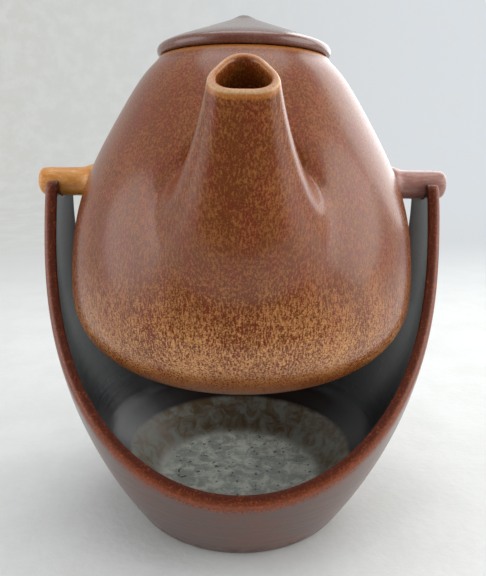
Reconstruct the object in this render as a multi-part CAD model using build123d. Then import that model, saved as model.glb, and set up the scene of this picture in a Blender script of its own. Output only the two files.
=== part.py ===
from build123d import *
import math
import os

# Tilting stoneware teapot hung by two pegs in a cradle stand, with a lift-out infuser.
# Millimetres. The stand rests on z = 0, its axis is Z, the pegs lie along X and the
# spout points to -Y.

# Teapot
base_height = 67.0            # underside of the hanging pot above the table
base_radius = 29.0
belly_rise = 35.0             # belly above the underside
belly_radius = 74.4
peg_rise = 82.2               # peg axis above the underside
radius_at_pegs = 66.8
collar_rise = 112.0
collar_radius = 50.6
pot_rise = 133.0              # top of the mouth rim above the underside
pot_wall = 5.0
pot_floor = 6.0

# Mouth, with a step inside it that carries the infuser
mouth_radius = 31.5
rim_width = 3.5
gallery_depth = 3.0
gallery_width = 2.3

# Pegs and the play round them
peg_radius = 6.2
peg_play = 0.3
peg_overhang = 3.2
peg_edge = 2.0

# Cradle stand
cradle_gap = 5.6              # between the belly and the inside of the stand
stand_wall = 5.2
foot_radius = 49.0
widest_height = 120.0
ear_lean = 1.7                # the ears lean in by this much above the widest height
horn_width = 5.5              # what stands on each side of the notch, at the top of an ear
ear_corner = 3.0
ear_above_peg = 0.6
front_rim_height = 33.7
floor_radius = 35.0
floor_height = 9.0
ledge_radius = 51.6
ledge_height = 24.5

# Spout
spout_overhang = 13.6         # centre of the spout mouth in front of the belly
mouth_rise = 115.5            # and above the underside of the pot
mouth_half_width = 9.8
mouth_tilt = 50.0             # of the mouth's outward normal, above the horizontal
neck_half_width = 15.0
root_half_width = 24.0
spout_wall = 2.6

# Strainer, a pierced disc let into the pot's wall behind the spout
strainer_radius = 14.0
strainer_thickness = 3.0
strainer_hole_radius = 2.2
strainer_pitch = 9.0
strainer_hole_count = 6

# Rear handle
handle_overhang = 37.6        # middle of the strap behind the belly
handle_width = 22.0
handle_thickness = 9.0
handle_top_rise = 109.0
handle_foot_rise = 45.0
handle_bend = 24.0

# Lid
lid_overhang = 1.0
lid_edge = 4.5
lid_rise = 17.0
lid_wall = 4.2
lid_flange_depth = 8.0
lid_flange_wall = 3.0
lid_flange_play = 2.0

# Infuser, of etched sheet; the fine perforation isn't cut here
sheet = 0.8
infuser_play = 0.7
flange_play = 0.3
flange_thickness = 1.2
infuser_depth = 90.0

# Worked out from the sizes above
rim_radius = mouth_radius + rim_width
bore_radius = mouth_radius - gallery_width
lid_radius = rim_radius + lid_overhang
mouth_reach = belly_radius + spout_overhang
mouth_height = base_height + mouth_rise
handle_reach = belly_radius + handle_overhang
slot_radius = peg_radius + peg_play
ear_half_width = slot_radius + horn_width
peg_height = base_height + peg_rise
rim_height = base_height + pot_rise
stand_radius = belly_radius + cradle_gap + stand_wall
peg_tip = stand_radius + peg_overhang
ear_top = peg_height + ear_above_peg
infuser_radius = bore_radius - infuser_play
gallery_height = rim_height - gallery_depth
belly_height = base_height + belly_rise
collar_bottom = gallery_height - pot_wall
reach = 2 * stand_radius      # longer than anything that is cut through


def turned(*edges):
    """A solid turned about Z from an outline in (radius, height)."""
    return revolve(Plane.XZ * make_face(Wire(edges)), Axis.Z)


def ring(outer, inner, bottom, height):
    tube = Cylinder(outer, height) - Cylinder(inner, 2 * height)
    return Pos(0, 0, bottom + height / 2) * tube


def pot_form(inset, floor, top):
    """The pot's turned form, moved in by inset and filled up to the height top."""
    belly = (belly_radius - inset, base_height + belly_rise)
    shoulder = Spline(
        belly,
        (radius_at_pegs - inset, peg_height),
        (collar_radius - inset * 1.15, base_height + collar_rise),
        (rim_radius - inset * 1.15, rim_height),
        tangents=[(0, 1), (-0.8, 0.75)],
    )
    underside = EllipticalCenterArc(
        (base_radius, belly[1]), belly[0] - base_radius, belly_rise - floor,
        start_angle=-90, arc_size=90,
    )
    low = (0, base_height + floor)
    form = turned(
        Line(low, underside @ 0), underside, shoulder,
        Line(shoulder @ 1, (0, rim_height)), Line((0, rim_height), low),
    )
    return form if top >= rim_height else form - Pos(0, 0, top + reach / 2) * Box(reach, reach, reach)


def bowl_radius(height, inset=0.0):
    """Outside radius of the stand at a height: it swells from the foot and leans in at the ears."""
    if height > widest_height:
        lean = (height - widest_height) / (ear_top - widest_height)
        return stand_radius - ear_lean * lean ** 2 - inset
    swell = 1 - (1 - height / widest_height) ** 2.2
    return foot_radius + (stand_radius - foot_radius) * swell - inset


def rim_half_width(height):
    """Half the stand's depth, front to back, at a height on its swept rim."""
    fall = (ear_top - height) / (ear_top - front_rim_height)
    return ear_half_width + (bowl_radius(front_rim_height) - ear_half_width) * fall ** 1.75


def cradle_stand():
    levels = [widest_height * share for share in (0, 0.12, 0.3, 0.52, 0.76, 1)] + [ear_top]
    outside = Spline([(bowl_radius(level), level) for level in levels])
    inner_levels = [ledge_height + 7] + levels[3:]
    inside = Spline([(bowl_radius(level, stand_wall), level) for level in inner_levels])
    dish = Spline(
        (floor_radius, floor_height), (ledge_radius - 5, ledge_height - 6),
        (ledge_radius, ledge_height), tangents=[(1, 0), (0.4, 1)],
    )
    stand = turned(
        Line((0, 0), (foot_radius, 0)),
        outside,
        Line(outside @ 1, inside @ 1),
        inside,
        Line(inside @ 0, dish @ 1),
        dish,
        Line(dish @ 0, (0, floor_height)),
        Line((0, floor_height), (0, 0)),
    )
    stand -= sweep_cut(1) + sweep_cut(-1)
    slot = Rot(0, 90, 0) * Cylinder(slot_radius, reach)
    slot += Pos(0, 0, slot_radius) * Box(reach, 2 * slot_radius, 2 * slot_radius)
    stand -= Pos(0, 0, peg_height) * slot
    return stand


def sweep_cut(side):
    """What is cut away in front of one swept rim, seen along the pegs."""
    low = front_rim_height - 3
    high = ear_top - ear_corner
    levels = [low + (high - low) * share for share in (0, 0.12, 0.3, 0.5, 0.75, 1)]
    rim = Spline([(side * rim_half_width(level), level) for level in levels])
    above = ear_top + 10
    inward = side * (rim_half_width(high) - ear_corner)
    corner = RadiusArc(rim @ 1, (inward, ear_top), side * ear_corner)
    outline = Wire([
        rim,
        corner,
        Line(corner @ 1, (0, ear_top)),
        Line((0, ear_top), (0, above)),
        Line((0, above), (side * reach, above)),
        Line((side * reach, above), (side * reach, low)),
        Line((side * reach, low), rim @ 0),
    ])
    return extrude(Plane.YZ * make_face(outline), reach, both=True)


def spout_form(inset):
    """The spout's horn, from inside the belly to its three-cornered mouth."""
    stations = [
        # forward, height, tilt of the section, half width, half depth, cornering
        (belly_radius - 26.4, base_height + 59.0, 40.0, root_half_width * 1.4, 28.0, 0.0),
        (belly_radius - 8.4, base_height + 80.0, 48.0, root_half_width, 19.0, 0.0),
        (mouth_reach - 11.5, mouth_height - 18.0, 55.0, neck_half_width, 13.0, 0.05),
        (mouth_reach, mouth_height, mouth_tilt, mouth_half_width, mouth_half_width, 0.12),
    ]
    sections = []
    for forward, height, tilt, half_width, half_depth, corner in stations:
        slope = math.radians(tilt)
        plane = Plane(
            origin=(0, -forward, height), x_dir=(1, 0, 0),
            z_dir=(0, -math.cos(slope), math.sin(slope)),
        )
        points = []
        for step in range(12):
            turn = math.radians(30 * step)
            swell = 1 + corner * math.cos(3 * (turn - math.pi / 2))
            points.append((
                (half_width - inset) * swell * math.cos(turn),
                (half_depth - inset) * swell * math.sin(turn),
            ))
        sections.append(plane * make_face(Wire([Spline(points, periodic=True)])))
    return loft(sections)


def spout():
    bore = spout_form(spout_wall)
    return spout_form(0) - bore - pot_form(0, 0, rim_height)


def strainer_axis():
    """The line of the strainer, out through the pot's wall into the spout."""
    slope = math.radians(30)
    return Plane(
        origin=(0, -radius_at_pegs, base_height + 70), x_dir=(1, 0, 0),
        z_dir=(0, -math.cos(slope), math.sin(slope)),
    )


def pot_slice(bottom, top):
    pot = pot_form(0, 0, rim_height) - pot_form(pot_wall, pot_floor, collar_bottom)
    pot -= Pos(0, 0, rim_height) * Cylinder(mouth_radius, 2 * gallery_depth)
    pot -= Pos(0, 0, rim_height) * Cylinder(bore_radius, 6 * pot_wall)
    return pot & Pos(0, 0, (bottom + top) / 2) * Cylinder(2 * belly_radius, top - bottom)


def pot_bowl():
    return pot_slice(base_height - 1, belly_height)


def pot_shoulder():
    return pot_slice(belly_height, collar_bottom) - strainer_axis() * Cylinder(strainer_radius, 8 * pot_wall)


def mouth_ring():
    return pot_slice(collar_bottom, rim_height + 1)


def strainer():
    disc = pot_form(0, 0, rim_height) - pot_form(strainer_thickness, pot_floor, rim_height)
    disc &= strainer_axis() * Cylinder(strainer_radius, 8 * pot_wall)
    for step in range(strainer_hole_count + 1):
        away = strainer_pitch if step else 0
        turn = 2 * math.pi * step / strainer_hole_count
        place = Pos(away * math.cos(turn), away * math.sin(turn), 0)
        disc -= strainer_axis() * place * Cylinder(strainer_hole_radius, 8 * pot_wall)
    return disc


def peg(side):
    length = peg_tip - radius_at_pegs / 2
    rod = Rot(0, 90, 0) * Cylinder(peg_radius, length)
    rod = Pos(side * (peg_tip - length / 2), 0, peg_height) * rod
    tip = rod.edges().sort_by(Axis.X)[-1 if side > 0 else 0]
    return fillet(tip, peg_edge) - pot_form(0, 0, rim_height)


def rear_handle():
    top = base_height + handle_top_rise
    foot = base_height + handle_foot_rise
    path = FilletPolyline(
        (0, collar_radius - 10, top), (0, handle_reach - 15, top + 15),
        (0, handle_reach, foot + 12), (0, belly_radius - 8, foot - 3),
        radius=handle_bend,
    )
    section = Plane(origin=path @ 0, x_dir=(1, 0, 0), z_dir=path % 0)
    strap = sweep(section * Ellipse(handle_width / 2, handle_thickness / 2), path)
    return strap - pot_form(0, 0, rim_height)


def lid():
    top = rim_height + lid_rise
    edge = rim_height + lid_edge
    lid_fall = lid_rise - lid_edge
    crown = Spline(
        (lid_radius - 1, edge), (lid_radius * 0.6, top - lid_fall * 0.57), (lid_radius * 0.3, top - lid_fall * 0.3),
        (0, top), tangents=[(-1, 0.2), (-1, 0.1)],
    )
    cap = turned(
        Line((0, rim_height), (lid_radius - 1, rim_height)),
        ThreePointArc((lid_radius - 1, rim_height), (lid_radius, rim_height + lid_edge / 2), (lid_radius - 1, edge)),
        crown,
        Line((0, top), (0, rim_height)),
    )
    flange_radius = infuser_radius - sheet - lid_flange_play
    hollow = Cone(flange_radius - lid_flange_wall, 5, lid_rise - lid_wall - 3)
    cap -= Pos(0, 0, rim_height + (lid_rise - lid_wall - 3) / 2) * hollow
    flange = ring(flange_radius, flange_radius - lid_flange_wall, rim_height - lid_flange_depth, lid_flange_depth)
    return cap + flange


def infuser_rim():
    return ring(mouth_radius - flange_play, infuser_radius - sheet, gallery_height, flange_thickness)


def infuser_wall():
    return ring(infuser_radius, infuser_radius - sheet, gallery_height - infuser_depth, infuser_depth)


def infuser_base():
    return Pos(0, 0, gallery_height - infuser_depth - sheet / 2) * Cylinder(infuser_radius, sheet)


pieces = {
    "cradle_stand": cradle_stand,
    "pot_bowl": pot_bowl,
    "pot_shoulder": pot_shoulder,
    "mouth_ring": mouth_ring,
    "strainer": strainer,
    "spout": spout,
    "rear_handle": rear_handle,
    "left_peg": lambda: peg(-1),
    "right_peg": lambda: peg(1),
    "lid": lid,
    "infuser_rim": infuser_rim,
    "infuser_wall": infuser_wall,
    "infuser_base": infuser_base,
}

os.makedirs("parts", exist_ok=True)
for name, make in pieces.items():
    export_step(make(), f"parts/{name}.step")
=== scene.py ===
import math

import bmesh
import bpy
from mathutils import Matrix, Vector
from mathutils.kdtree import KDTree


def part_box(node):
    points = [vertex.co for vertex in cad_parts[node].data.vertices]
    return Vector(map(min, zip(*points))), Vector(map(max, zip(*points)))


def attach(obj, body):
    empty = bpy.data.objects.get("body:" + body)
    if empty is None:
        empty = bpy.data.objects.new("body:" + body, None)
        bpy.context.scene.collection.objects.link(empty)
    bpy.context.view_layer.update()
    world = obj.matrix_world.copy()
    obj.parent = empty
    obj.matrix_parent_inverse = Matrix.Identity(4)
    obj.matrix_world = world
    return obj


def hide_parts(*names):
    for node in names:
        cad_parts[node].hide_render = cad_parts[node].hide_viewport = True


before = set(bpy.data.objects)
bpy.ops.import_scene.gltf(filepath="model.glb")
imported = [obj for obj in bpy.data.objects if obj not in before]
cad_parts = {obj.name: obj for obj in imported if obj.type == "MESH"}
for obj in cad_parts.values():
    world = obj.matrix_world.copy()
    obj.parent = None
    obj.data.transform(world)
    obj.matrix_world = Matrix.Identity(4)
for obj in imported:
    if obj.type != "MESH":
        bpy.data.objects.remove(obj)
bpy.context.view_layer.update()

# A stoneware teapot that hangs by two pegs in a cradle stand, with a lift-out infuser.
# Metres. The pegs lie along X, the spout points to -Y and the stand rests on z = 0.

mm = 0.001
weldReach = 0.02 * mm
smoothAngle = 60        # degrees, edges sharper than this stay crisp


# helpers for modelling in edit mode

def startFresh():
    if bpy.context.object and bpy.context.object.mode != "OBJECT":
        bpy.ops.object.mode_set(mode="OBJECT")
    bpy.ops.object.select_all(action="DESELECT")


def activate(piece):
    startFresh()
    piece.select_set(True)
    bpy.context.view_layer.objects.active = piece


def drawOutline(name, points):
    # one vertex, extruded from point to point in the XZ plane
    startFresh()
    bpy.ops.mesh.primitive_plane_add(size=mm)
    piece = bpy.context.object
    piece.name = piece.data.name = name
    bpy.ops.object.mode_set(mode="EDIT")
    bpy.ops.mesh.select_mode(type="VERT")
    bpy.ops.mesh.select_all(action="SELECT")
    bpy.ops.mesh.merge(type="CENTER")
    bpy.ops.transform.translate(value=(points[0][0], 0, points[0][1]))
    for (x, z), (nextX, nextZ) in zip(points, points[1:]):
        bpy.ops.mesh.extrude_region_move(TRANSFORM_OT_translate={"value": (nextX - x, 0, nextZ - z)})
    return piece


def spinRound(steps, axis=(0, 0, 1), centre=(0, 0, 0)):
    # turns the outline being edited into a closed shape of revolution
    bpy.ops.mesh.select_all(action="SELECT")
    bpy.ops.mesh.spin(steps=steps, angle=math.tau, center=centre, axis=axis)
    bpy.ops.mesh.select_all(action="SELECT")
    bpy.ops.mesh.remove_doubles(threshold=weldReach)
    bpy.ops.mesh.normals_make_consistent(inside=False)
    bpy.ops.object.mode_set(mode="OBJECT")


def applyModifier(piece, kind, **settings):
    activate(piece)
    made = piece.modifiers.new(kind.title(), kind)
    for key, value in settings.items():
        setattr(made, key, value)
    bpy.ops.object.modifier_apply(modifier=made.name)


def subdivide(piece, levels):
    applyModifier(piece, "SUBSURF", levels=levels, render_levels=levels)


def smoothShade(piece, angle=smoothAngle):
    activate(piece)
    bpy.ops.object.shade_smooth_by_angle(angle=math.radians(angle))


def placeOn(piece, body, slot, *nodes):
    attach(piece, body)
    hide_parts(*nodes)
    print(piece.name, len(piece.data.polygons), "faces")
    return piece


def edgeLoops(mesh):
    # open edges as rings of vertices, the front ring first, each from its lowest middle vertex towards +X
    partners = {}
    for edge in mesh.edges:
        if edge.is_boundary:
            for vert in edge.verts:
                partners.setdefault(vert, []).append(edge.other_vert(vert))
    loops = []
    while partners:
        start = min(partners, key=lambda vert: (round(abs(vert.co.x) / mm), vert.co.z))
        loop = [start, max(partners[start], key=lambda vert: vert.co.x)]
        while True:
            following = next(vert for vert in partners[loop[-1]] if vert is not loop[-2])
            if following is start:
                break
            loop.append(following)
        for vert in loop:
            partners.pop(vert)
        loops.append(loop)
    return sorted(loops, key=lambda loop: min(vert.co.y for vert in loop))


def growRing(mesh, ring, places):
    # extrudes a ring of open edges and sets the new ring down vertex by vertex
    edges = [mesh.edges.get(pair) for pair in zip(ring, ring[1:] + ring[:1])]
    grown = bmesh.ops.extrude_edge_only(mesh, edges=edges)["geom"]
    fresh = {item for item in grown if isinstance(item, bmesh.types.BMVert)}
    following = [next(edge.other_vert(vert) for edge in vert.link_edges if edge.other_vert(vert) in fresh)
                 for vert in ring]
    for vert, place in zip(following, places):
        vert.co = place
    return following


def bridgeRings(piece, mesh, first, second):
    for edge in mesh.edges:
        edge.select = False
    for ring in (first, second):
        for pair in zip(ring, ring[1:] + ring[:1]):
            mesh.edges.get(pair).select = True
    bmesh.update_edit_mesh(piece.data)
    bpy.ops.mesh.select_mode(type="EDGE")
    bpy.ops.mesh.bridge_edge_loops()
    bpy.ops.mesh.select_mode(type="VERT")


def finishMesh():
    bpy.ops.mesh.select_all(action="SELECT")
    bpy.ops.mesh.normals_make_consistent(inside=False)
    bpy.ops.object.mode_set(mode="OBJECT")


# what is measured on the frame

potNodes = ("pot_bowl", "pot_shoulder", "mouth_ring")
walls = {}


def radiusAt(node, height, inside=False):
    # radius of a turned wall at a height, read beside the pegs
    if node not in walls:
        walls[node] = []
        for name in potNodes if node == "pot" else [node]:
            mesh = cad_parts[name].data
            for edge in mesh.edges:
                ends = [mesh.vertices[i].co for i in edge.vertices]
                if all(abs(end.y) < 0.4 * abs(end.x) for end in ends):
                    walls[node].append(ends)
    radii = []
    for low, high in walls[node]:
        if (low.z - height) * (high.z - height) < 0:
            point = low.lerp(high, (height - low.z) / (high.z - low.z))
            radii.append(math.hypot(point.x, point.y))
    return min(radii) if inside else max(radii)


potBoxes = [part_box(name) for name in potNodes]
potLow = min((low for low, high in potBoxes), key=lambda corner: corner.z)
potHigh = max((high for low, high in potBoxes), key=lambda corner: corner.z)
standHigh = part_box("cradle_stand")[1]
lidLow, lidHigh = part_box("lid")
handleLow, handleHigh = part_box("rear_handle")
strainerLow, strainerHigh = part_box("strainer")
pegLow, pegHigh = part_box("right_peg")
pegHeight = (pegLow.z + pegHigh.z) / 2
pegRadius = (pegHigh.z - pegLow.z) / 2


# the thrown pot and its spout, one skin

potSkin = {
    "segments": 48,
    "outsideShares": (0.012, 0.04, 0.085, 0.14, 0.2, 0.262, 0.33, 0.4, 0.475, 0.55,
                      0.625, 0.7, 0.77, 0.84, 0.9, 0.955),
    "floor": 6 * mm,
    "mouthRadius": 31.5 * mm,
    "galleryDepth": 3 * mm,
    "boreRadius": 29.2 * mm,
    "subdivisions": 2,
}

spoutHorn = {
    "patchColumns": 3,                 # faces of the opened patch to each side of the middle
    "patchShares": (0.365, 0.77),      # of the pot's height
    # forward, height above the pot's underside, tilt, half width, half depth, cornering, in mm and degrees
    "root": (0, 74, 30, 31, 27, 0.0),
    "stations": (
        (66.5, 77.5, 42, 25.5, 22, 0.0),
        (72.5, 88, 50, 19.6, 16.6, 0.02),
        (77.5, 97.5, 56, 15.4, 13.6, 0.05),
        (82.5, 106.5, 56, 12.2, 11.6, 0.08),
        (86.5, 113, 52, 10.3, 10.3, 0.11),
        (87.6, 115, 50, 9.9, 9.9, 0.12),
    ),
    "lip": ((0.5, 0.8), (1.3, 1.0), (2.2, 0.7), (2.7, 0.0)),     # turned in, and out along the mouth, in mm
    "lipLine": (0.4, 0.9),             # where the painted highlight on the lip is strongest
    "wall": 3.1,                       # thickness, in mm
    "throat": 13.6,                    # radius round the strainer, in mm
    "throatTilt": 0.93,                # the strainer leans, so its round is lower than it is wide
}


def potOutline():
    low, high = potLow.z, potHigh.z
    mouth, bore = potSkin["mouthRadius"], potSkin["boreRadius"]
    step = high - potSkin["galleryDepth"]
    floor = low + potSkin["floor"]
    rim = radiusAt("pot", high - 1 * mm)
    outside = [(0, low), (12 * mm, low), (24 * mm, low)]
    for share in potSkin["outsideShares"]:
        height = low + (high - low) * share
        outside.append((radiusAt("pot", height), height))
    # the rounded mouth, the step that carries the infuser, and the bore below it
    edge = [
        (rim + 0.2 * mm, high - 2.2 * mm), (rim - 0.7 * mm, high - 0.5 * mm), (rim - 1.8 * mm, high),
        (mouth + 0.6 * mm, high), (mouth, high - 0.6 * mm), (mouth, step + 0.3 * mm),
        (mouth - 0.3 * mm, step), (bore + 0.5 * mm, step), (bore, step - 0.5 * mm),
        (bore, high - 6 * mm), (bore + 0.8 * mm, high - 7.6 * mm), (bore + 3 * mm, high - 8.2 * mm),
    ]
    inside = []
    for share in reversed(potSkin["outsideShares"][4:15]):
        height = low + (high - low) * share
        inside.append((radiusAt("pot", height, inside=True), height))
    base = [(40 * mm, floor + 2 * mm), (24 * mm, floor), (12 * mm, floor), (0, floor)]
    return outside + edge + inside + base


def sectionPoint(station, turn, inset=0.0, lift=0.0):
    forward, rise, tilt, halfWidth, halfDepth, corner = station
    slope = math.radians(tilt)
    outward = Vector((0, -math.cos(slope), math.sin(slope)))
    upward = Vector((0, math.sin(slope), math.cos(slope)))
    swell = 1 + corner * math.cos(3 * (turn - math.pi / 2))
    centre = Vector((0, -forward * mm, potLow.z + rise * mm))
    across = (halfWidth - inset) * swell * math.cos(turn) * mm
    along = (halfDepth - inset) * swell * math.sin(turn) * mm
    return centre + Vector((across, 0, 0)) + upward * along + outward * lift * mm


def makePotSkin():
    piece = drawOutline("pot_and_spout", potOutline())
    spinRound(potSkin["segments"])
    activate(piece)
    bpy.ops.object.mode_set(mode="EDIT")
    bpy.ops.mesh.select_mode(type="FACE")
    bpy.ops.mesh.select_all(action="DESELECT")
    mesh = bmesh.from_edit_mesh(piece.data)
    width = math.tau / potSkin["segments"] * (spoutHorn["patchColumns"] + 0.2)
    low, high = (potLow.z + (potHigh.z - potLow.z) * share for share in spoutHorn["patchShares"])
    for face in mesh.faces:
        middle = face.calc_center_median()
        atFront = middle.y < 0 and abs(math.atan2(middle.x, -middle.y)) < width
        face.select = atFront and low < middle.z < high
    bmesh.update_edit_mesh(piece.data)
    bpy.ops.mesh.delete(type="FACE")
    bpy.ops.mesh.select_mode(type="VERT")
    mesh = bmesh.from_edit_mesh(piece.data)
    outer, inner = edgeLoops(mesh)
    print("spout patch", len(outer), "and", len(inner), "vertices")
    root = spoutHorn["root"]
    throat = (strainerLow + strainerHigh) / 2
    for loop, outside in ((outer, True), (inner, False)):        # both patch edges are rounded off
        for step, vert in enumerate(loop):
            turn = -math.pi / 2 + math.tau * step / len(loop)
            if outside:
                x = root[3] * math.cos(turn) * mm
                z = potLow.z + (root[1] + root[4] * math.sin(turn)) * mm
            else:
                x = spoutHorn["throat"] * math.cos(turn) * mm
                z = throat.z + spoutHorn["throatTilt"] * spoutHorn["throat"] * math.sin(turn) * mm
            radius = radiusAt("pot", z, inside=not outside)
            vert.co = (x, -math.sqrt(radius ** 2 - x ** 2), z)
    turns = [-math.pi / 2 + math.tau * step / len(outer) for step in range(len(outer))]
    ring = outer
    for station in spoutHorn["stations"]:
        ring = growRing(mesh, ring, [sectionPoint(station, turn) for turn in turns])
    mouth = spoutHorn["stations"][-1]
    for inset, lift in spoutHorn["lip"]:
        ring = growRing(mesh, ring, [sectionPoint(mouth, turn, inset, lift) for turn in turns])
    for station in reversed(spoutHorn["stations"][1:-1]):        # back down inside the spout's wall
        ring = growRing(mesh, ring, [sectionPoint(station, turn, spoutHorn["wall"]) for turn in turns])
    bridgeRings(piece, mesh, ring, inner)
    finishMesh()
    subdivide(piece, potSkin["subdivisions"])
    smoothShade(piece)
    return placeOn(piece, "pot", "pot_glaze", "spout", *potNodes)


potPiece = makePotSkin()


# the cradle stand: a thrown shell, swept low front and back, with a notch for each peg

standShell = {
    "slotRadius": pegRadius + 0.3 * mm,
    "slotTurns": (0, 32, 58, 80),      # degrees from the bottom of the notch
    "earHalfWidth": pegRadius + 5.8 * mm,
    "earCorner": 3 * mm,
    "frontRim": 33.7 * mm,
    "sweep": 1.75,                     # how late the rim falls away from the ears
    # shares of the way down from the ear's corner to the front rim
    "sweepShares": (0.05, 0.12, 0.2, 0.28, 0.36, 0.44, 0.52, 0.6, 0.67, 0.735, 0.79, 0.84, 0.88, 0.915,
                    0.94, 0.96, 0.975, 0.987, 0.996),
    "rows": 15,
    "frontTurn": math.radians(86),     # the sweep's columns stop short of the middle of the front
    "squareUntil": math.radians(15),   # the notch is cut straight through, the sweep square to the wall
    "squareOver": math.radians(60),
    "earColumns": 8,                   # columns with the ear's tight rounding, and those it fades over
    "earFade": 6,
    "rimShares": (0.3, 0.5, 0.7, 0.87),
    "outerSoftness": 3.2 * mm,         # how far the rim's rounding reaches into the wall
    "innerSoftness": 1.4 * mm,
    "earSoftness": 1.3 * mm,
    "dishTop": 31.5 * mm,
    "dishHeights": (27.5 * mm, 24.9 * mm, 24.0 * mm, 21 * mm, 16 * mm, 12 * mm, 9.9 * mm, 9.2 * mm),
    "floorTop": 9 * mm,
    "floorRings": (33 * mm, 20 * mm, 8 * mm),
    "footRings": (8 * mm, 24 * mm, 40 * mm),
}


def wallReader(low, high, inside):
    # reads the stand's wall once, and gives its radius at any height from that
    steps = 120
    heights = [low + (high - low) * step / steps for step in range(steps + 1)]
    radii = [radiusAt("cradle_stand", height, inside) for height in heights]

    def read(height):
        along = min(max((height - low) / (high - low), 0), 1) * steps
        before = min(int(along), steps - 1)
        return radii[before] + (radii[before + 1] - radii[before]) * (along - before)
    return read


def eased(share):
    share = min(max(share, 0), 1)
    return share * share * (3 - 2 * share)


def onWall(read, turn, height):
    return Vector((read(height) * math.cos(turn), read(height) * math.sin(turn), height))


def makeStand():
    top = standHigh.z
    outerWall = wallReader(0.3 * mm, top - 0.3 * mm, inside=False)
    innerWall = wallReader(standShell["dishHeights"][-1], top - 0.3 * mm, inside=True)
    ear, corner, frontRim = (standShell[key] for key in ("earHalfWidth", "earCorner", "frontRim"))

    def rimReach(height):        # half the stand's depth on its swept rim
        fall = (top - height) / (top - frontRim)
        return ear + (outerWall(frontRim) - ear) * fall ** standShell["sweep"]

    def rimHeightAt(read, turn):        # where the sweep leaves a wall
        low, high = frontRim - 3 * mm, top
        for _ in range(40):
            middle = (low + high) / 2
            if rimReach(middle) > read(middle) * math.sin(turn):
                low = middle
            else:
                high = middle
        return (low + high) / 2

    # the rim of one quarter, from the bottom of the notch to the middle of the front, as depth and height
    slot = standShell["slotRadius"]
    rim = [(slot * math.sin(math.radians(turn)), pegHeight - slot * math.cos(math.radians(turn)))
           for turn in standShell["slotTurns"]]
    rim += [(slot + 0.3 * mm, top - 0.15 * mm), ((slot + ear - 0.7 * corner) / 2, top),
            (ear - 0.85 * corner, top - 0.05 * mm), (ear - 0.2 * corner, top - 0.32 * corner)]
    rim += [(rimReach(top - corner - (top - corner - frontRim) * share),
             top - corner - (top - corner - frontRim) * share) for share in standShell["sweepShares"]]
    outer = [onWall(outerWall, math.asin(min(1, y / outerWall(z))), z) for y, z in rim]
    outer = [place for place in outer if math.atan2(place.y, place.x) < standShell["frontTurn"]]
    turns = [math.atan2(place.y, place.x) for place in outer]
    turns.append(math.pi / 2)
    outer.append(onWall(outerWall, math.pi / 2, frontRim))
    inner = []
    for (y, z), turn in zip(rim, turns[:-1]):
        straight = math.asin(min(1, y / innerWall(z)))
        share = eased((turn - standShell["squareUntil"]) / standShell["squareOver"])
        inward = straight + (turn - straight) * share
        inner.append(onWall(innerWall, inward, z if share == 0 else rimHeightAt(innerWall, inward)))
    inner.append(onWall(innerWall, math.pi / 2, rimHeightAt(innerWall, math.pi / 2)))
    count = len(outer) - 1
    feet = [math.pi / 2 * step / count for step in range(count + 1)]

    def intoWall(line, read, reach, step):        # a point of the wall just below the rim, square to it
        ahead = line[step + 1] if step < count else line[step - 1] * Vector((-1, 1, 1))
        behind = line[step - 1] if step else line[1] * Vector((1, -1, 1))
        outward = Vector((line[step].x, line[step].y, 0)).normalized()
        down = (ahead - behind).normalized().cross(outward).normalized()
        place = line[step] + down * reach
        return onWall(read, math.atan2(place.y, place.x), place.z)

    nearEar = [min(1, max(0, 1 - (step - standShell["earColumns"]) / standShell["earFade"]))
               for step in range(count + 1)]

    def softEdge(line, read, softness):
        reach = [standShell[softness] * (1 - near) + standShell["earSoftness"] * near for near in nearEar]
        return [intoWall(line, read, reach[step], step) for step in range(count + 1)]

    outerEdge = softEdge(outer, outerWall, "outerSoftness")
    innerEdge = softEdge(inner, innerWall, "innerSoftness")
    outerTip = [outer[step].lerp(outerEdge[step], 0.3).lerp(inner[step], 0.05) for step in range(count + 1)]
    innerTip = [inner[step].lerp(innerEdge[step], 0.2).lerp(outer[step], 0.03) for step in range(count + 1)]

    def fallTo(edge, read, bottom, share):        # the wall's own rows, easing round to evenly spaced feet
        places = []
        for step in range(count + 1):
            turn = math.atan2(edge[step].y, edge[step].x)
            height = edge[step].z + (bottom - edge[step].z) * share
            places.append(onWall(read, turn + (feet[step] - turn) * eased(share), height))
        return places

    def levelRing(radius, height):
        return [Vector((radius * math.cos(turn), radius * math.sin(turn), height)) for turn in feet]

    # foot, outer wall, rim, inner wall and dish, as one run of rings
    rows = standShell["rows"]
    rings = [levelRing(radius, 0) for radius in standShell["footRings"]]
    rings.append(levelRing(outerWall(0) - 1.6 * mm, 0))
    rings.append(levelRing(outerWall(0) - 0.35 * mm, 0.25 * mm))
    rings += [fallTo(outerEdge, outerWall, 1.6 * mm, 1 - row / rows) for row in range(rows)]
    rings += [outerEdge, outerTip]
    rimStart = len(rings) - 1
    for share in standShell["rimShares"]:
        rings.append([a.lerp(b, share) for a, b in zip(outer, inner)])
    rimEnd = len(rings)
    rings += [innerTip, innerEdge]
    rings += [fallTo(innerEdge, innerWall, standShell["dishTop"], (row + 1) / rows) for row in range(rows)]
    rings += [levelRing(innerWall(height), height) for height in standShell["dishHeights"]]
    rings += [levelRing(radius, standShell["floorTop"]) for radius in standShell["floorRings"]]

    # the quarter's columns, mirrored round the stand
    columns = [(step, 1, 1) for step in range(count)] + [(step, -1, 1) for step in range(count, 0, -1)]
    columns += [(step, -1, -1) for step in range(count)] + [(step, 1, -1) for step in range(count, 0, -1)]

    def allRound(ring):
        return [Vector((ring[step].x * alongX, ring[step].y * alongY, ring[step].z))
                for step, alongX, alongY in columns]

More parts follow.
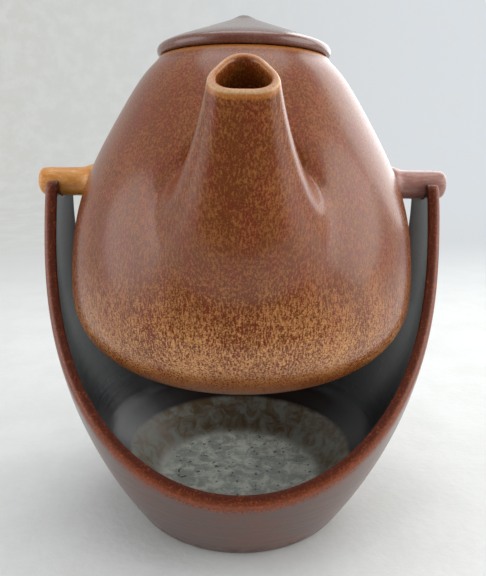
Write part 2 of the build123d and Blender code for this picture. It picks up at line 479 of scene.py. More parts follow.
    startFresh()
    bpy.ops.mesh.primitive_circle_add(vertices=len(columns), radius=standShell["footRings"][0])
    piece = bpy.context.object
    piece.name = piece.data.name = "stand_shell"
    bpy.ops.object.mode_set(mode="EDIT")
    mesh = bmesh.from_edit_mesh(piece.data)
    mesh.verts.ensure_lookup_table()
    rimMark = mesh.verts.layers.float.new("rimMark")
    wellMark = mesh.verts.layers.float.new("wellMark")
    first = ring = list(mesh.verts)
    for vert, place in zip(ring, allRound(rings[0])):
        vert.co = place
    for number, places in enumerate(rings[1:], 1):
        ring = growRing(mesh, ring, allRound(places))
        for vert in ring:
            vert[rimMark] = float(rimStart <= number <= rimEnd)
            vert[wellMark] = min(1, max(0, (number - rimStart) / (rimEnd - rimStart)))
    for loop in (first, ring):
        growRing(mesh, loop, [Vector((0, 0, loop[0].co.z))] * len(loop))
    bmesh.ops.remove_doubles(mesh, verts=mesh.verts, dist=0.001 * mm)
    bmesh.update_edit_mesh(piece.data)
    finishMesh()
    subdivide(piece, 2)
    smoothShade(piece, angle=80)
    return placeOn(piece, "stand", "stand_glaze", "cradle_stand")


standPiece = makeStand()


# the two pegs

pegTurning = {"rootReach": 4.5 * mm, "flare": 1.6 * mm, "tipRound": 2 * mm, "steps": 20}


def makePeg(side, slot):
    tip = pegHigh.x
    wall = radiusAt("pot", pegHeight)
    radius, tipRound = pegRadius, pegTurning["tipRound"]
    outline = [
        (wall - pegTurning["rootReach"], 0), (wall - pegTurning["rootReach"], radius + pegTurning["flare"]),
        (wall - 1 * mm, radius + pegTurning["flare"]), (wall + 1.2 * mm, radius + 0.4 * mm),
        (wall + 3.4 * mm, radius), (tip - 9 * mm, radius), (tip - tipRound * 1.3, radius),
        (tip - 0.45 * tipRound, radius - 0.3 * tipRound), (tip, radius - 1.25 * tipRound), (tip, 0),
    ]
    piece = drawOutline(("left" if side < 0 else "right") + "_peg_glazed",
                        [(side * x, pegHeight + height) for x, height in outline])
    spinRound(pegTurning["steps"], axis=(1, 0, 0), centre=(0, 0, pegHeight))
    subdivide(piece, 2)
    smoothShade(piece)
    return placeOn(piece, "pot", slot, ("left" if side < 0 else "right") + "_peg")


leftPeg = makePeg(-1, "ochre_glaze")
rightPeg = makePeg(1, "peg_glaze")


# the pulled strap handle at the back

strapHandle = {
    "corners": 16,
    "halfThick": 4.5 * mm,
    "slim": 0.9,                  # of the full half width, between the roots
    "squareness": 0.8,            # 1 is an oval section, less is flatter
    "rootDepth": 3.5 * mm,        # how far both ends run into the pot's wall
    "flare": 0.42,                # how much wider the strap is at its two roots
    "flareSteps": 2.5,
    # share of the way back to the outermost point, share of the way up between foot and top
    "path": ((0.0, 0.93), (0.18, 0.955), (0.36, 0.975), (0.55, 0.965), (0.74, 0.9), (0.9, 0.76),
             (0.985, 0.58), (0.985, 0.4), (0.9, 0.24), (0.74, 0.13), (0.55, 0.075), (0.36, 0.06),
             (0.18, 0.055), (0.0, 0.05)),
}


def makeHandle():
    halfWidth = (handleHigh.x - handleLow.x) / 2
    halfThick = strapHandle["halfThick"]
    back = handleHigh.y - halfThick
    low, high = handleLow.z, handleHigh.z
    centres = []
    for outward, upward in strapHandle["path"]:
        height = low + (high - low) * upward
        wall = radiusAt("pot", height) - strapHandle["rootDepth"]
        centres.append(Vector((0, wall + (back - wall) * outward, height)))
    startFresh()
    bpy.ops.mesh.primitive_circle_add(vertices=strapHandle["corners"], radius=halfThick)
    piece = bpy.context.object
    piece.name = piece.data.name = "strap_handle"
    bpy.ops.object.mode_set(mode="EDIT")
    mesh = bmesh.from_edit_mesh(piece.data)
    mesh.verts.ensure_lookup_table()
    first = ring = list(mesh.verts)
    for step, centre in enumerate(centres):
        ahead, behind = centres[min(step + 1, len(centres) - 1)], centres[max(step - 1, 0)]
        along = (ahead - behind).normalized()
        across = Vector((1, 0, 0))
        outward = along.cross(across)
        nearRoot = max(0, 1 - min(step, len(centres) - 1 - step) / strapHandle["flareSteps"]) ** 1.5
        wide = halfWidth * (strapHandle["slim"] + strapHandle["flare"] * nearRoot)
        thick = halfThick * (1 + strapHandle["flare"] * nearRoot)
        places = []
        for corner in range(len(ring)):
            turn = math.tau * corner / len(ring)
            flat = math.copysign(abs(math.cos(turn)) ** strapHandle["squareness"], math.cos(turn))
            places.append(centre + across * flat * wide + outward * math.sin(turn) * thick)
        if step:
            ring = growRing(mesh, ring, places)
        else:
            for vert, place in zip(ring, places):
                vert.co = place
    for openRing in (first, ring):
        mesh.faces.new(openRing)
    bmesh.update_edit_mesh(piece.data)
    finishMesh()
    subdivide(piece, 2)
    smoothShade(piece)
    return placeOn(piece, "pot", "pot_glaze", "rear_handle")


handlePiece = makeHandle()


# the lid, a thrown disc drawn up to a soft low peak

lidTurning = {"segments": 48, "edge": 4.6 * mm, "wall": 4.2 * mm, "hollow": 1.06}


def makeLid():
    low, high = lidLow.z, lidHigh.z
    seat = potHigh.z
    rim = lidHigh.x
    edge = lidTurning["edge"]
    flange = radiusAt("lid", (low + seat) / 2)
    bore = radiusAt("lid", (low + seat) / 2, inside=True)
    rise = high - seat - edge
    outline = [(0, high), (2.6 * mm, high - 0.25 * mm)]
    for share in (0.15, 0.26, 0.38, 0.52, 0.68, 0.84):
        outline.append((rim * share, seat + edge + rise * (1 - share) ** lidTurning["hollow"]))
    outline += [
        (rim * 0.94, seat + edge + 0.1 * mm), (rim - 0.7 * mm, seat + edge - 0.6 * mm),
        (rim, seat + edge - 1.9 * mm), (rim, seat + 1.5 * mm), (rim - 0.5 * mm, seat + 0.5 * mm),
        (rim - 1.6 * mm, seat + 0.1 * mm), (flange + 1.2 * mm, seat + 0.1 * mm),
        (flange, seat - 0.8 * mm), (flange, low + 1 * mm), (flange - 0.6 * mm, low + 0.15 * mm),
        (bore + 0.6 * mm, low + 0.15 * mm), (bore, low + 1 * mm), (bore, seat + 0.4 * mm),
        (bore - 1.5 * mm, seat + 1.6 * mm),
    ]
    for share in (0.5, 0.3, 0.14, 0):
        height = seat + edge + rise * (1 - share) ** lidTurning["hollow"] - lidTurning["wall"] - 0.4 * mm
        outline.append((rim * share, height))
    piece = drawOutline("lid_disc", outline)
    spinRound(lidTurning["segments"])
    subdivide(piece, 2)
    smoothShade(piece)
    return placeOn(piece, "lid", "lid_glaze", "lid")


lidPiece = makeLid()


# the steel infuser

infuserSheet = {
    "columns": 44, "rows": 24,
    "holeInset": 0.75 * mm,       # half the bar between two holes of the wall
    "sheet": 0.8 * mm,
    "plainTop": 10 * mm,
    "plainFoot": 2 * mm,
    "baseSegments": 64,
    "baseHolePitch": 4.6 * mm,
    "baseHole": 1.05 * mm,
    "baseHoleSides": 12,
    "basePlain": 2.5 * mm,        # unpierced margin of the base
    "rimSegments": 48,
    "rimSoftness": 0.35 * mm,
}


def makeInfuserWall():
    low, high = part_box("infuser_wall")
    radius = high.x
    rows = infuserSheet["rows"]
    top = high.z - infuserSheet["plainTop"]
    foot = low.z + infuserSheet["plainFoot"]
    heights = [low.z, foot]
    heights += [foot + (top - foot) * row / rows for row in range(1, rows + 1)]
    heights.append(high.z)
    piece = drawOutline("infuser_mesh_wall", [(radius - 0.05 * mm, height) for height in heights])
    spinRound(infuserSheet["columns"])
    activate(piece)
    bpy.ops.object.mode_set(mode="EDIT")
    bpy.ops.mesh.select_mode(type="FACE")
    mesh = bmesh.from_edit_mesh(piece.data)
    for face in mesh.faces:
        face.select = foot < face.calc_center_median().z < top
    bmesh.update_edit_mesh(piece.data)
    bpy.ops.mesh.inset(thickness=infuserSheet["holeInset"], use_individual=True)
    bpy.ops.mesh.delete(type="FACE")
    finishMesh()
    applyModifier(piece, "SOLIDIFY", thickness=infuserSheet["sheet"], offset=-1)
    subdivide(piece, 1)
    smoothShade(piece, angle=50)
    return placeOn(piece, "infuser", "infuser_steel", "infuser_wall")


def makeInfuserBase():
    low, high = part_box("infuser_base")
    radius = high.x
    startFresh()
    bpy.ops.mesh.primitive_cylinder_add(vertices=infuserSheet["baseSegments"], radius=radius,
                                        depth=high.z - low.z, location=(0, 0, (low.z + high.z) / 2))
    piece = bpy.context.object
    piece.name = piece.data.name = "infuser_mesh_base"
    bpy.ops.object.transform_apply(location=True, rotation=True, scale=True)
    startFresh()
    pitch = infuserSheet["baseHolePitch"]
    punches = []
    for ring in range(int((radius - infuserSheet["basePlain"]) / pitch) + 1):
        count = max(1, 6 * ring)
        for step in range(count):
            turn = math.tau * step / count
            bpy.ops.mesh.primitive_cylinder_add(
                vertices=infuserSheet["baseHoleSides"], radius=infuserSheet["baseHole"], depth=4 * mm,
                location=(ring * pitch * math.cos(turn), ring * pitch * math.sin(turn), high.z))
            punches.append(bpy.context.object)
    startFresh()
    for punch in punches:
        punch.select_set(True)
    bpy.context.view_layer.objects.active = punches[0]
    bpy.ops.object.join()
    bpy.ops.object.transform_apply(location=True, rotation=True, scale=True)
    punch = bpy.context.object
    applyModifier(piece, "BOOLEAN", operation="DIFFERENCE", object=punch, solver="EXACT")
    bpy.data.objects.remove(punch)
    smoothShade(piece, angle=35)
    return placeOn(piece, "infuser", "infuser_steel", "infuser_base")


def makeInfuserRim():
    low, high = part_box("infuser_rim")
    outer = high.x
    inner = radiusAt("infuser_rim", (low.z + high.z) / 2, inside=True)
    soften = infuserSheet["rimSoftness"]
    outline = [
        (inner, low.z + soften), (inner, high.z - 0.5 * mm), (inner + 0.5 * mm, high.z),
        (outer - 1.6 * mm, high.z), (outer - soften, high.z), (outer, high.z - soften),
        (outer, low.z + soften), (outer - soften, low.z), (outer - 1.6 * mm, low.z),
        (inner + 0.4 * mm, low.z), (inner, low.z + soften),
    ]
    piece = drawOutline("infuser_flange", outline)
    spinRound(infuserSheet["rimSegments"])
    subdivide(piece, 1)
    smoothShade(piece, angle=50)
    return placeOn(piece, "infuser", "infuser_steel", "infuser_rim")


infuserPieces = [makeInfuserWall(), makeInfuserBase(), makeInfuserRim()]
print("pieces modelled")


# shader maths, and one method that makes every other node

def paint(red, green, blue):
    # a screen colour, 0 to 255, as the linear colour a shader takes
    linear = []
    for value in (red, green, blue):
        share = value / 255
        linear.append(share / 12.92 if share <= 0.04045 else ((share + 0.055) / 1.055) ** 2.4)
    return (*linear, 1)


class Wire:
    def __init__(self, finish, socket):
        self.finish = finish
        self.socket = socket

    def sums(self, operation, first, second):
        return self.finish.add("Math", {"operation": operation}, {0: first, 1: second})

    def __add__(self, other):
        return self.sums("ADD", self, other)

    def __radd__(self, other):
        return self.sums("ADD", other, self)

    def __sub__(self, other):
        return self.sums("SUBTRACT", self, other)

    def __rsub__(self, other):
        return self.sums("SUBTRACT", other, self)

    def __mul__(self, other):
        return self.sums("MULTIPLY", self, other)

    def __rmul__(self, other):
        return self.sums("MULTIPLY", other, self)

    def __truediv__(self, other):
        return self.sums("DIVIDE", self, other)

    def __rtruediv__(self, other):
        return self.sums("DIVIDE", other, self)

    def __pow__(self, other):
        return self.sums("POWER", self, other)

    def __rpow__(self, other):
        return self.sums("POWER", other, self)


class Finish:
    def __init__(self, name, tree=None):
        if tree is None:
            self.material = bpy.data.materials.new(name)
            self.material.use_nodes = True
        self.tree = tree or self.material.node_tree
        self.tree.nodes.clear()
        self.place = self.add("TexCoord", out="Object")
        self.x, self.y, self.z = (self.add("SeparateXYZ", {}, {0: self.place}, out=axis) for axis in "XYZ")

    def add(self, kind, settings=None, sockets=None, out=0):
        made = self.tree.nodes.new("ShaderNode" + kind)
        for key, value in (settings or {}).items():
            setattr(made, key, value)
        for key, value in (sockets or {}).items():
            if isinstance(value, Wire):
                self.tree.links.new(value.socket, made.inputs[key])
            else:
                made.inputs[key].default_value = value
        return Wire(self, made.outputs[out]) if made.outputs else None

    def stretch(self, x, y, z):
        return self.add("Mapping", {}, {"Vector": self.place, "Scale": (x, y, z)})

    def noise(self, size, detail, rough, place=None, twist=0):
        # a noise whose grains are about as large as size
        return self.add("TexNoise", {}, {"Vector": place or self.place, "Scale": 1 / size, "Detail": detail,
                                         "Roughness": rough, "Distortion": twist})

    def band(self, value, low, high):
        # 0 below low, 1 above high, and a soft step between
        return self.add("MapRange", {"interpolation_type": "SMOOTHSTEP"},
                        {"Value": value, "From Min": low, "From Max": high})

    def mix(self, first, second, share):
        return self.add("Mix", {"data_type": "RGBA", "clamp_factor": True},
                        {0: share, 6: first, 7: second}, out=2)

    def bump(self, height, distance, strength, under=None):
        sockets = {"Height": height, "Distance": distance, "Strength": strength}
        if under:
            sockets["Normal"] = under
        return self.add("Bump", {}, sockets)

    def surface(self, sockets):
        self.add("OutputMaterial", {}, {"Surface": self.add("BsdfPrincipled", {}, sockets)})
        return self.material


def storeNearness(piece, name, places, reach):
    # keeps with each vertex 1 at the places, falling to 0 at reach from the nearest
    tree = KDTree(len(places))
    for index, place in enumerate(places):
        tree.insert(place, index)
    tree.balance()
    values = [max(0, 1 - tree.find(vert.co)[2] / reach) for vert in piece.data.vertices]
    piece.data.attributes.new(name, "FLOAT", "POINT").data.foreach_set("value", values)


def dress(material, *pieces):
    for piece in pieces:
        piece.data.materials.clear()
        piece.data.materials.append(material)


# the pot's glaze: ochre fur over reddish brown, amber where it runs off underneath, ochre on the lip with a
# painted highlight along it

potGlaze = {
    "brown": paint(110, 54, 17),
    "red": paint(114, 46, 20),
    "ochre": paint(190, 120, 52),
    "tan": paint(214, 160, 104),
    "amber": paint(112, 52, 5),
    # painted highlight: the pale colour laid along the spout's lip
    "lip": paint(218, 188, 150),
    "lipReach": 3 * mm,
    "belowWidest": (0.16, 0.5),        # shares of the pot's height
    "runoff": (0.08, 0.19),
    "fur": 0.62 * mm, "grain": 0.55 * mm, "cloud": 16 * mm, "blotch": 5 * mm,     # sizes of the patterns
}


def makePotGlaze():
    mouth, count = spoutHorn["stations"][-1], 60
    lipLine = [sectionPoint(mouth, math.tau * step / count, *spoutHorn["lipLine"]) for step in range(count)]
    storeNearness(potPiece, "lipNear", lipLine, potGlaze["lipReach"])

    glaze = Finish("pot_glaze")
    lip = glaze.add("Attribute", {"attribute_name": "lipNear"}, out="Fac")
    rise = (glaze.z - potLow.z) / (potHigh.z - potLow.z)
    radius = (glaze.x ** 2 + glaze.y ** 2) ** 0.5
    front = glaze.band(0 - glaze.y / radius, 0.55, 1.0)
    fur = glaze.noise(potGlaze["fur"], 3, 0.62, glaze.stretch(1, 1, 0.3))
    grain = glaze.noise(potGlaze["grain"], 2, 0.6)
    cloud = glaze.noise(potGlaze["cloud"], 3, 0.55, glaze.stretch(1, 1, 0.6), twist=0.4)
    blotch = glaze.noise(potGlaze["blotch"], 2, 0.5, glaze.stretch(1, 1, 0.4))
    low = 1 - glaze.band(rise, *potGlaze["belowWidest"])
    speckle = glaze.band(fur * 0.55 + grain * 0.45 + (cloud - 0.5) * 0.2 + low * 0.03, 0.47, 0.62)
    ground = glaze.mix(potGlaze["brown"], potGlaze["red"], glaze.band(blotch, 0.35, 0.7))
    gold = glaze.mix(potGlaze["ochre"], potGlaze["tan"], low * glaze.band(grain, 0.4, 0.6))
    colour = glaze.mix(ground, gold, speckle * (0.33 + 0.47 * low + 0.12 * front))
    runoff = 1 - glaze.band(rise + (cloud - 0.5) * 0.05, *potGlaze["runoff"])
    amber = glaze.mix(potGlaze["amber"], potGlaze["ochre"], speckle * 0.18)
    colour = glaze.mix(colour, amber, runoff * 0.95)
    colour = glaze.mix(colour, potGlaze["ochre"], glaze.band(lip + (grain - 0.5) * 0.3, 0.1, 0.5) * 0.6)
    # painted highlight: pale along the lip line, over the ochre band on the lip
    colour = glaze.mix(colour, potGlaze["lip"], glaze.band(lip + (grain - 0.5) * 0.2, 0.6, 0.95) * 0.8)
    rim = glaze.band(glaze.z, potHigh.z - 2.5 * mm, potHigh.z - 0.5 * mm)
    colour = glaze.mix(colour, potGlaze["ochre"], rim * 0.7)
    relief = glaze.bump(cloud, 0.5 * mm, 0.5)
    relief = glaze.bump(fur + grain, 0.035 * mm, 0.6, relief)
    return glaze.surface({"Base Color": colour, "Roughness": 0.27 + 0.1 * speckle, "Specular IOR Level": 0.4,
                          "Coat Weight": 0.2, "Coat Roughness": 0.12, "Normal": relief})


dress(makePotGlaze(), potPiece, handlePiece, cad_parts["strainer"])


# the stand's glaze: mauve outside, rust on the rim with an orange outer edge that is partly a painted
# highlight, near black inside with painted streaks of reflection, and a pale grey-green floor

standGlaze = {
    "outside": paint(98, 78, 72),
    "warm": paint(106, 74, 64),
    "rust": paint(76, 30, 14),
    "russet": paint(122, 62, 38),
    "orange": paint(156, 76, 36),
    "inside": paint(8, 9, 11),
    "navy": paint(15, 20, 26),
    # painted reflection: pale grey that stands for the bright room mirrored in the glossy inner wall
    "paintedReflectionGrey": paint(96, 92, 84),
    "ledge": paint(112, 94, 70),
    "floorDark": paint(160, 168, 160),
    "floorPale": paint(228, 234, 222),
    "foot": paint(120, 92, 72),
    "rimReach": 20 * mm,
    "paintedReflectionHeights": (28 * mm, 50 * mm),              # where each of these fades in or out
    "poolHeights": (25.5 * mm, 28.5 * mm),
    "poolRadii": (51 * mm, 53.5 * mm),
    "ledgeRadii": (36 * mm, 41 * mm),
    "footHeights": (0.5 * mm, 1.6 * mm),
    "footRadii": (40 * mm, 42 * mm),
    "grain": 0.8 * mm, "streak": 1.6 * mm, "rings": 2.6 * mm, "spots": 2.4 * mm,
    "cloud": 18 * mm, "patch": 7 * mm,
    "coat": 0.25,
}


def makeStandGlaze():
    marks = standPiece.data.attributes["rimMark"].data
    onRim = [vert.co.copy() for vert in standPiece.data.vertices if marks[vert.index].value > 0.9]
    storeNearness(standPiece, "rimNear", onRim, standGlaze["rimReach"])

    glaze = Finish("stand_glaze")
    rim = (1 - glaze.add("Attribute", {"attribute_name": "rimNear"}, out="Fac")) * standGlaze["rimReach"]
    outward = 1 - glaze.add("Attribute", {"attribute_name": "wellMark"}, out="Fac")
    radius = (glaze.x ** 2 + glaze.y ** 2) ** 0.5
    grain = glaze.noise(standGlaze["grain"], 3, 0.6)
    streak = glaze.noise(standGlaze["streak"], 3, 0.6, glaze.stretch(1, 1, 0.12))
    rings = glaze.noise(standGlaze["rings"], 2, 0.5, glaze.stretch(0.06, 0.06, 1))
    cloud = glaze.noise(standGlaze["cloud"], 3, 0.55)
    patch = glaze.noise(standGlaze["patch"], 4, 0.62, twist=0.6)

    turned = cloud + (rings - 0.5) * 0.3
    out = glaze.mix(standGlaze["outside"], standGlaze["warm"], glaze.band(turned, 0.4, 0.65))
    out = glaze.mix(out, glaze.mix(out, standGlaze["rust"], 0.35), glaze.band(grain, 0.5, 0.75) * 0.5)
    drips = glaze.mix(standGlaze["orange"], standGlaze["rust"], glaze.band(grain, 0.4, 0.6))
    out = glaze.mix(drips, out, glaze.band(rim + (streak - 0.5) * 5 * mm, 0.2 * mm, 3.2 * mm))

    well = glaze.mix(standGlaze["inside"], standGlaze["navy"], glaze.band(turned, 0.45, 0.75))
    # painted reflection: pale grey streaks on the dark inner wall, strongest high up and fading out towards
    # the bottom
    paintedReflection = glaze.band(streak, 0.58, 0.74) * glaze.band(cloud, 0.5, 0.62)
    paintedReflection = paintedReflection * glaze.band(glaze.z, *standGlaze["paintedReflectionHeights"])
    well = glaze.mix(well, standGlaze["paintedReflectionGrey"], paintedReflection * 0.55)

    mottle = glaze.band(patch + (grain - 0.5) * 0.35, 0.36, 0.68)
    floor = glaze.mix(standGlaze["floorDark"], standGlaze["floorPale"], mottle)
    spots = glaze.band(glaze.noise(standGlaze["spots"], 1, 0.5), 0.66, 0.72)
    floor = glaze.mix(floor, standGlaze["inside"], spots * 0.8)
    ledge = glaze.mix(standGlaze["ledge"], standGlaze["floorDark"], glaze.band(patch, 0.35, 0.65) * 0.7)
    onLedge = glaze.band(radius + (patch - 0.5) * 6 * mm, *standGlaze["ledgeRadii"])
    floor = glaze.mix(floor, ledge, onLedge)
    below = 1 - glaze.band(glaze.z, *standGlaze["poolHeights"])
    atFloor = below * (1 - glaze.band(radius, *standGlaze["poolRadii"]))
    well = glaze.mix(well, floor, atFloor)

    outerSide = glaze.band(outward, 0.35, 0.65)
    colour = glaze.mix(well, out, outerSide)
    flecks = glaze.band(grain + (streak - 0.5) * 0.5, 0.5, 0.8)
    edge = glaze.mix(standGlaze["rust"], standGlaze["orange"], flecks * 0.6)
    # partly real, partly painted highlight: the outer half of the rim turns russet and orange, the glaze's
    # orange fringe with a painted highlight along the outer edge
    orangeFringeAndHighlight = glaze.mix(standGlaze["russet"], standGlaze["orange"], glaze.band(grain, 0.45, 0.7))
    edge = glaze.mix(edge, orangeFringeAndHighlight, glaze.band(outward + (grain - 0.5) * 0.5, 0.45, 1.0) * 0.85)
    colour = glaze.mix(colour, edge, 1 - glaze.band(rim + (streak - 0.5) * 1.6 * mm, 0.2 * mm, 1.1 * mm))
    bare = 1 - glaze.band(glaze.z + (patch - 0.5) * 1.2 * mm, *standGlaze["footHeights"])
    colour = glaze.mix(colour, standGlaze["foot"], bare * glaze.band(radius, *standGlaze["footRadii"]))
    rough = 0.24 + 0.12 * grain + 0.25 * atFloor * mottle + 0.3 * bare
    relief = glaze.bump(rings + cloud, 0.25 * mm, 0.5)
    relief = glaze.bump(grain + streak * 0.5, 0.04 * mm, 0.5, relief)
    return glaze.surface({"Base Color": colour, "Roughness": rough, "Specular IOR Level": 0.28,
                          "Coat Weight": standGlaze["coat"] * outerSide, "Coat Roughness": 0.12,
                          "Normal": relief})


dress(makeStandGlaze(), standPiece)


# the lid, the pegs and the steel

lidGlaze = {
    "brown": paint(96, 64, 54),
    "grey": paint(124, 108, 102),
    "rust": paint(112, 58, 40),
    "rimRadii": (32.5 * mm, 35.5 * mm),
    "grain": 0.8 * mm, "cloud": 12 * mm,
}


def makeLidGlaze():
    glaze = Finish("lid_glaze")
    radius = (glaze.x ** 2 + glaze.y ** 2) ** 0.5
    grain = glaze.noise(lidGlaze["grain"], 3, 0.6)
    cloud = glaze.noise(lidGlaze["cloud"], 3, 0.55)
    speckle = glaze.band(grain + (cloud - 0.5) * 0.4, 0.42, 0.62)
    greyed = glaze.band(cloud, 0.3, 0.7) * 0.6 + 0.3 * speckle
    colour = glaze.mix(lidGlaze["brown"], lidGlaze["grey"], greyed)
    rim = glaze.band(radius + (grain - 0.5) * 2 * mm, *lidGlaze["rimRadii"])
    colour = glaze.mix(colour, lidGlaze["rust"], rim * 0.7)
    relief = glaze.bump(cloud, 0.4 * mm, 0.5)
    relief = glaze.bump(grain, 0.035 * mm, 0.5, relief)
    return glaze.surface({"Base Color": colour, "Roughness": 0.22 + 0.12 * speckle, "Coat Weight": 0.4,
                          "Coat Roughness": 0.1, "Normal": relief})


dress(makeLidGlaze(), lidPiece)


# ground, light speckle and dark cloud
pegGlazes = {
    "ochre_glaze": (paint(204, 134, 54), paint(226, 170, 100), paint(168, 98, 36)),
    "peg_glaze": (paint(152, 106, 95), paint(180, 139, 126), paint(118, 72, 62)),
}


def makePegGlaze(name):
    ground, light, dark = pegGlazes[name]
    glaze = Finish(name)
    grain = glaze.noise(0.9 * mm, 3, 0.6, glaze.stretch(0.3, 1, 1))
    cloud = glaze.noise(5 * mm, 2, 0.5)
    colour = glaze.mix(ground, light, glaze.band(grain, 0.45, 0.65) * 0.6)
    colour = glaze.mix(colour, dark, glaze.band(cloud, 0.5, 0.7) * 0.5)
    relief = glaze.bump(grain + cloud, 0.08 * mm, 0.5)
    return glaze.surface({"Base Color": colour, "Roughness": 0.3 + 0.15 * grain, "Coat Weight": 0.3,
                          "Coat Roughness": 0.15, "Normal": relief})


dress(makePegGlaze("ochre_glaze"), leftPeg)
dress(makePegGlaze("peg_glaze"), rightPeg)


steelTones = {"bright": paint(196, 194, 190), "dull": paint(164, 160, 154)}


def makeSteel():
    steel = Finish("infuser_steel")
    brushed = steel.noise(0.5 * mm, 3, 0.6, steel.stretch(1, 1, 0.08))
    smear = steel.noise(9 * mm, 3, 0.5)
    colour = steel.mix(steelTones["bright"], steelTones["dull"], smear)
    relief = steel.bump(brushed, 0.02 * mm, 0.4)
    return steel.surface({"Base Color": colour, "Metallic": 1.0, "Roughness": 0.26 + 0.16 * brushed,
                          "Normal": relief})


dress(makeSteel(), *infuserPieces)
print("finishes made")


# pale floor that sweeps up behind, soft light and the camera

backdrop = {
    "reach": 1.6, "frontReach": 0.9, "sweep": 0.35, "height": 1.3, "bendSteps": 8,
    "fade": (0.15, 0.9),               # how far back the floor turns into the plain backdrop
    "paintedLightAcross": (-0.9, 0.9),
    "cloud": 50 * mm, "tooth": 4 * mm,
    "pale": paint(219, 221, 220),
    "dim": paint(212, 214, 212),
    # painted light on the far backdrop: darker on the left, paler and bluer on the right, where the light
    # falls from
    "farLeftPaintedShade": paint(203, 204, 200),
    "farRightPaintedLight": paint(219, 224, 229),
}


def drawSide(name, points, halfWidth):
    # an outline in the YZ plane, pulled out to both sides
    piece = drawOutline(name, points)
    bpy.ops.mesh.select_all(action="SELECT")
    bpy.ops.transform.rotate(value=-math.pi / 2, orient_axis="Z", center_override=(0, 0, 0))
    bpy.ops.transform.translate(value=(-halfWidth, 0, 0))
    bpy.ops.mesh.extrude_region_move(TRANSFORM_OT_translate={"value": (2 * halfWidth, 0, 0)})
    finishMesh()
    return piece


def makeBackdrop():
    reach, sweep, height = backdrop["reach"], backdrop["sweep"], backdrop["height"]
    points = [(-backdrop["frontReach"], 0), (0, 0), (reach - sweep, 0)]
    for step in range(1, backdrop["bendSteps"] + 1):
        turn = math.pi / 2 * step / backdrop["bendSteps"]
        points.append((reach - sweep + sweep * math.sin(turn), sweep - sweep * math.cos(turn)))
    points.append((reach, height))
    piece = drawSide("floor_sweep", points, reach)
    smoothShade(piece)
    paper = Finish("pale_plaster")
    cloud = paper.noise(backdrop["cloud"], 4, 0.6)
    tooth = paper.noise(backdrop["tooth"], 3, 0.6)
    mottle = cloud + (tooth - 0.5) * 0.3
    colour = paper.mix(backdrop["pale"], backdrop["dim"], paper.band(mottle, 0.35, 0.7))
    relief = paper.bump(tooth + cloud, 0.6 * mm, 0.35)
    lit = paper.add("BsdfPrincipled", {}, {"Base Color": colour, "Roughness": 0.75, "Normal": relief})
    # painted light: the far backdrop goes from shaded on the left to lit on the right
    far = paper.mix(backdrop["farLeftPaintedShade"], backdrop["farRightPaintedLight"], paper.band(paper.x, *backdrop["paintedLightAcross"]))
    far = paper.mix(far, backdrop["pale"], paper.band(mottle, 0.4, 0.65) * 0.35)
    seen = paper.add("Emission", {}, {"Color": far, "Strength": 1})
    straight, glossy, through = (paper.add("LightPath", out=kind + " Ray")
                                 for kind in ("Is Camera", "Is Glossy", "Is Transmission"))
    share = paper.band(paper.y, *backdrop["fade"]) * (straight + glossy + through)
    shader = paper.add("MixShader", {}, {0: share, 1: lit, 2: seen})
    paper.add("OutputMaterial", {}, {"Surface": shader})
    dress(paper.material, piece)


makeBackdrop()


flag = {
    "halfWidth": 0.36,
    "outline": ((-0.2, 0.004), (-0.42, 0.03), (-0.54, 0.18), (-0.56, 0.6)),       # y and z
    "dark": paint(16, 16, 17),
    "worn": paint(24, 24, 25),
}


def makeFlag():
    # a dark card low in front, met only by reflections, keeps glare off the middle of the pot
    card = drawSide("dark_flag", flag["outline"], flag["halfWidth"])
    felt = Finish("black_felt")
    weave = felt.noise(3 * mm, 2, 0.5)
    colour = felt.mix(flag["dark"], flag["worn"], weave)
    dress(felt.surface({"Base Color": colour, "Roughness": 0.9}), card)
    card.visible_camera = False
    card.visible_shadow = card.visible_diffuse = False


makeFlag()

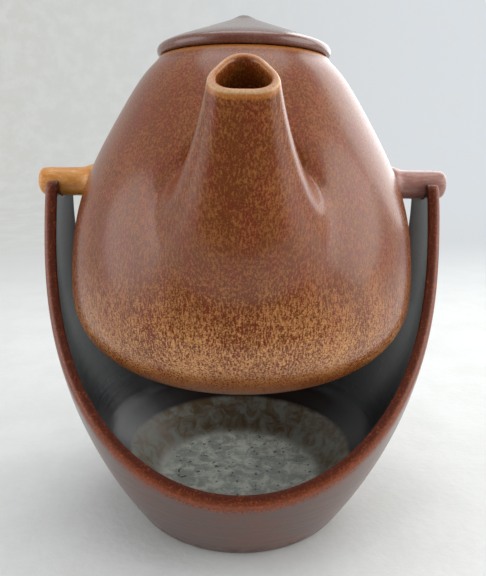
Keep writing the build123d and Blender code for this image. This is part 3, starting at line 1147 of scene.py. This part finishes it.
# place, what it is aimed at, diameter, watts and tint
softboxes = {
    "right": ((0.8, -0.22, 0.42), (0, 0, 0.12), 0.85, 4.6, (1, 0.99, 0.97)),
    "window": ((0.75, 0.85, 0.7), (0, 0, 0.14), 1.3, 9.0, (1, 1, 1)),
    "top": ((0, 0.05, 1.0), (0, 0, 0.12), 0.8, 3.0, (1, 1, 1)),
    "left": ((-0.8, -0.25, 0.3), (0, 0, 0.12), 0.75, 2.6, (0.96, 0.98, 1)),
}


def addSoftbox(name, place, target, size, power, colour):
    light = bpy.data.lights.new(name, "AREA")
    light.shape = "DISK"
    light.size = size
    light.energy = power
    light.color = colour
    lamp = bpy.data.objects.new(name, light)
    bpy.context.scene.collection.objects.link(lamp)
    lamp.visible_camera = False
    lamp.location = place
    lamp.rotation_euler = (Vector(target) - Vector(place)).to_track_quat("-Z", "Y").to_euler()


for name, settings in softboxes.items():
    addSoftbox("softbox_" + name, *settings)

surround = {"tint": (0.97, 0.985, 1, 1), "level": 0.6}


def makeWorld():
    world = bpy.data.worlds.new("studio")
    bpy.context.scene.world = world
    world.use_nodes = True
    studio = Finish("studio", world.node_tree)
    sky = studio.add("Background", {}, {"Color": surround["tint"], "Strength": surround["level"]})
    studio.add("OutputWorld", {}, {"Surface": sky})


makeWorld()

viewpoint = {
    "place": (0, -0.25, 0.1605),
    "pitch": math.radians(13.2), "pan": math.radians(0.15), "roll": math.radians(0.6),
    "lens": 35, "sensor": 36,
}


def makeCamera():
    camera = bpy.data.cameras.new("camera")
    camera.lens = viewpoint["lens"]
    camera.sensor_fit = "VERTICAL"
    camera.sensor_height = viewpoint["sensor"]
    camera.clip_start = 0.01
    pitch, pan, roll = viewpoint["pitch"], viewpoint["pan"], viewpoint["roll"]
    forward = Vector((math.sin(pan) * math.cos(pitch), math.cos(pan) * math.cos(pitch), -math.sin(pitch)))
    level = forward.cross(Vector((0, 0, 1))).normalized()
    upright = level.cross(forward)
    right = level * math.cos(roll) + upright * math.sin(roll)
    top = upright * math.cos(roll) - level * math.sin(roll)
    tripod = bpy.data.objects.new("camera", camera)
    bpy.context.scene.collection.objects.link(tripod)
    turned = Matrix((right, top, -forward)).transposed().to_4x4()
    turned.translation = viewpoint["place"]
    tripod.matrix_world = turned
    bpy.context.scene.camera = tripod


makeCamera()
bpy.context.scene.view_settings.view_transform = "Standard"
print("studio made")
